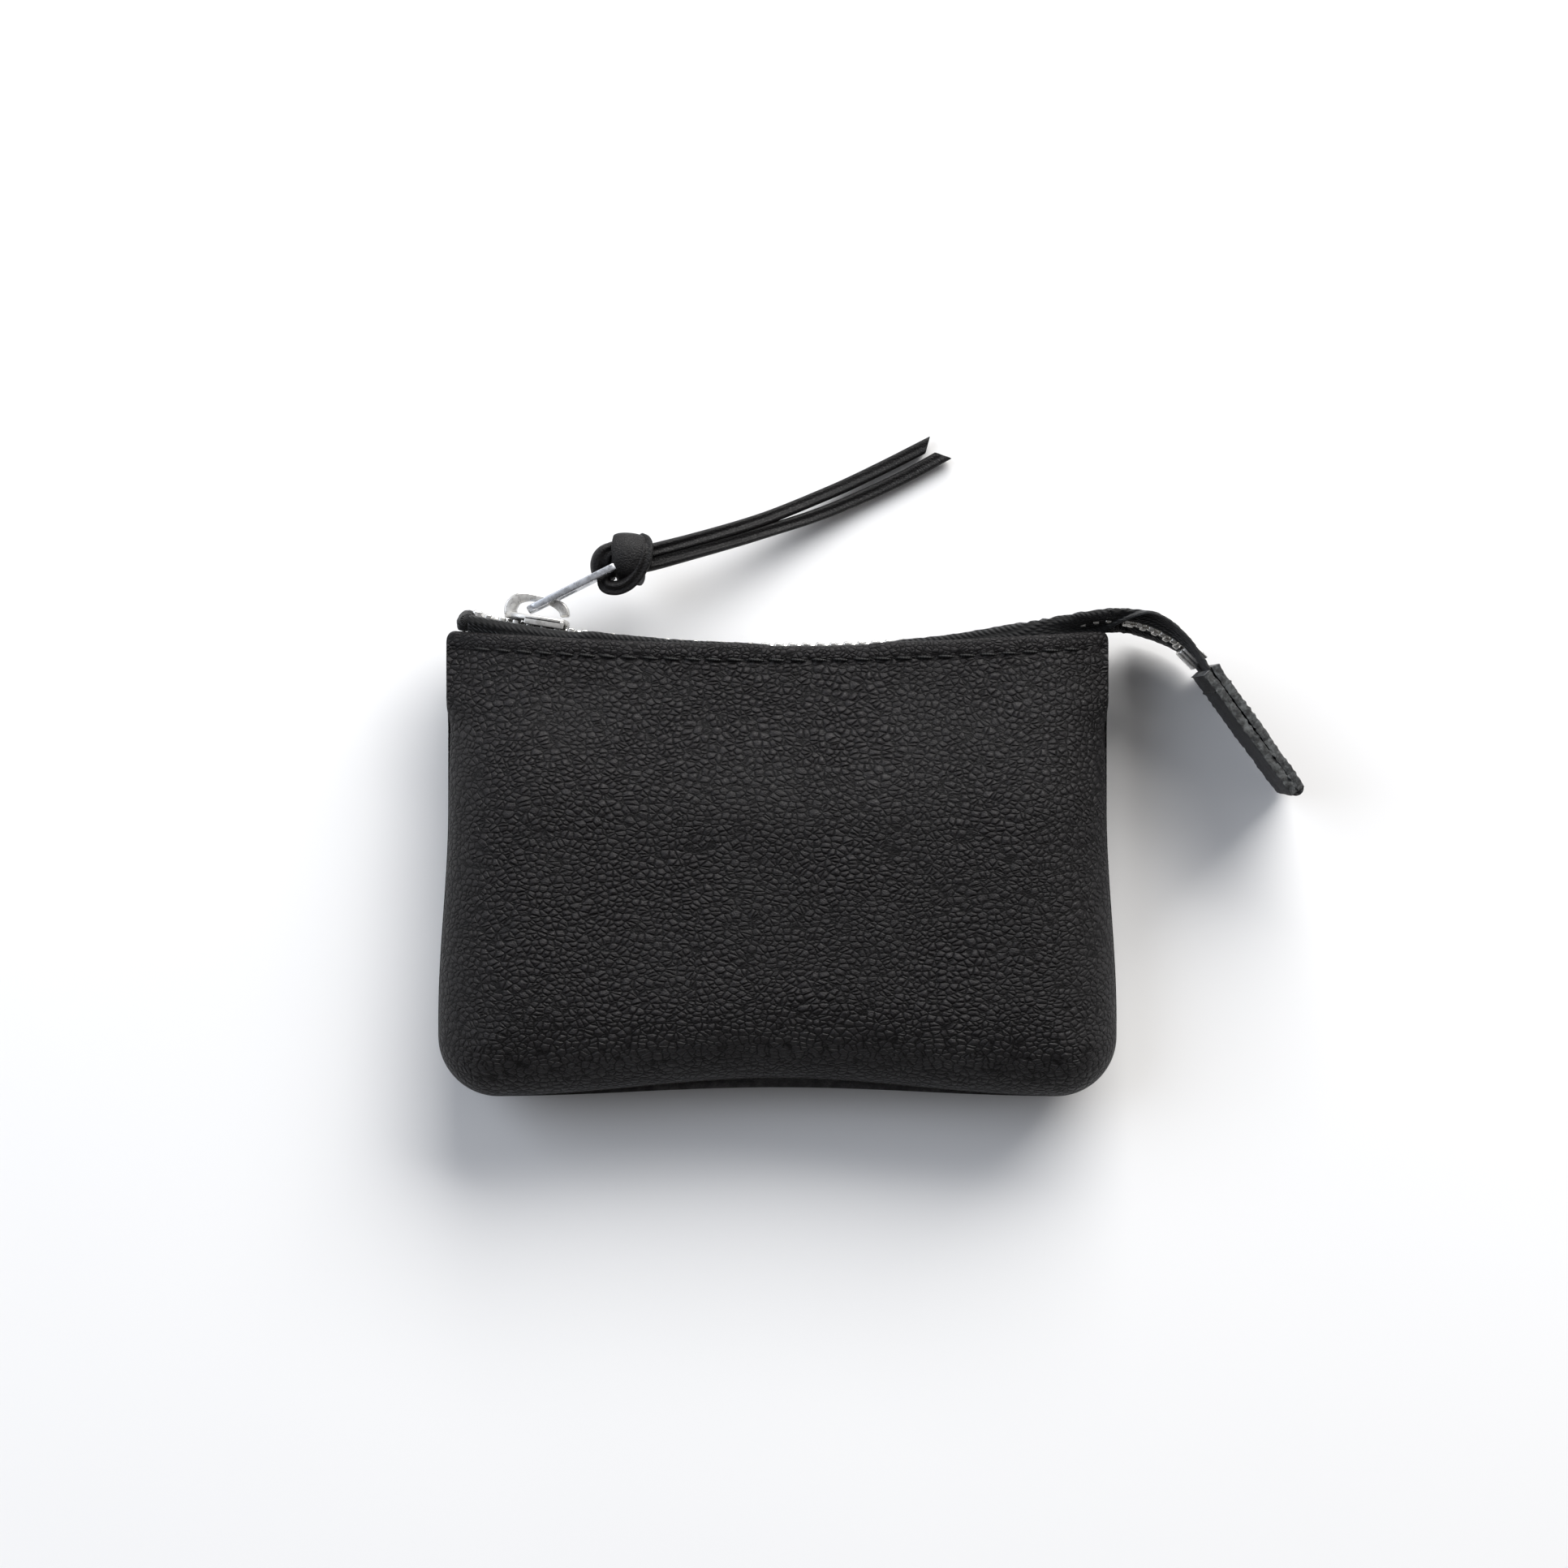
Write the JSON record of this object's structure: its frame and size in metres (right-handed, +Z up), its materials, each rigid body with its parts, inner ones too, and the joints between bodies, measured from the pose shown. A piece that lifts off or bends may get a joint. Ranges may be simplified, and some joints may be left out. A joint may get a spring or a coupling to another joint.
{
  "type": "coin purse",
  "caption": "Small zipped leather coin purse with a metal zip along its mouth, a slider pulled by a knotted leather lace, and a zip tail that ends in a folded leather tab",
  "frame": {"origin": "On the resting face, on the back panel's flat middle, under the middle of the pouch", "axes": "+X along the zip towards its tail, +Y from the bottom seam to the zip, +Z up through the front panel"},
  "size_m": [0.156, 0.1209, 0.024],
  "materials": {
    "panel_leather": "matt black pebbled leather",
    "tab_leather": "matt black leather with raw grey edges",
    "lace_leather": "matt black leather lace",
    "thread": "black sewing thread",
    "zip_tape": "black woven tape",
    "zip_metal": "silver teeth",
    "stop_metal": "silver stops",
    "slider_metal": "bright silver casting",
    "pull_metal": "silver stamped plate"
  },
  "bodies": {
    "pouch": {"back_panel": "panel_leather", "back_lip_stitch": "thread", "back_tape": "zip_tape", "back_teeth": "zip_metal", "back_top_stop": "stop_metal", "front_top_stop": "stop_metal"},
    "front_half": {"front_panel": "panel_leather", "front_lip_stitch": "thread", "front_tape": "zip_tape", "front_teeth": "zip_metal"},
    "slider": {"slider_body": "slider_metal"},
    "pull": {"pull_tab": "pull_metal"},
    "lace": {"lace_knot": "lace_leather", "lace_strand_upper": "lace_leather", "lace_strand_lower": "lace_leather"},
    "tail": {"tail_back_tape": "zip_tape", "tail_front_tape": "zip_tape", "tail_back_teeth": "zip_metal", "tail_front_teeth": "zip_metal", "bottom_stop": "stop_metal", "tail_tab": "tab_leather", "tail_tab_stitch": "thread"}
  },
  "joints": [
    {"name": "slider_travel", "type": "hinge", "parent": "pouch", "child": "slider", "pos_m": [0.002, 0.3301, 0.012], "axis": [0, 0, 1], "range_deg": [0, 17]},
    {"name": "mouth_open", "type": "hinge", "parent": "pouch", "child": "front_half", "pos_m": [0, -0.0424, 0.012], "axis": [1, 0, 0], "range_deg": [0, 15.3], "deforming": ["front_tape", "front_teeth"]},
    {"name": "pull_swing", "type": "hinge", "parent": "slider", "child": "pull", "pos_m": [-0.04479, 0.04637, 0.012], "axis": [0, 0, 1], "range_deg": [-15, 90]},
    {"name": "lace_swing", "type": "hinge", "parent": "pull", "child": "lace", "pos_m": [-0.02945, 0.05405, 0.012], "axis": [0, 0, 1], "range_deg": [-12, 25]},
    {"name": "tail_bend", "type": "hinge", "parent": "pouch", "child": "tail", "pos_m": [0.0639, 0.04437, 0.012], "axis": [0, 0, 1], "range_deg": [-35, 30]}
  ],
  "couplings": [
    {"joint": "mouth_open", "follows": "slider_travel", "ratio": 0.9}
  ]
}
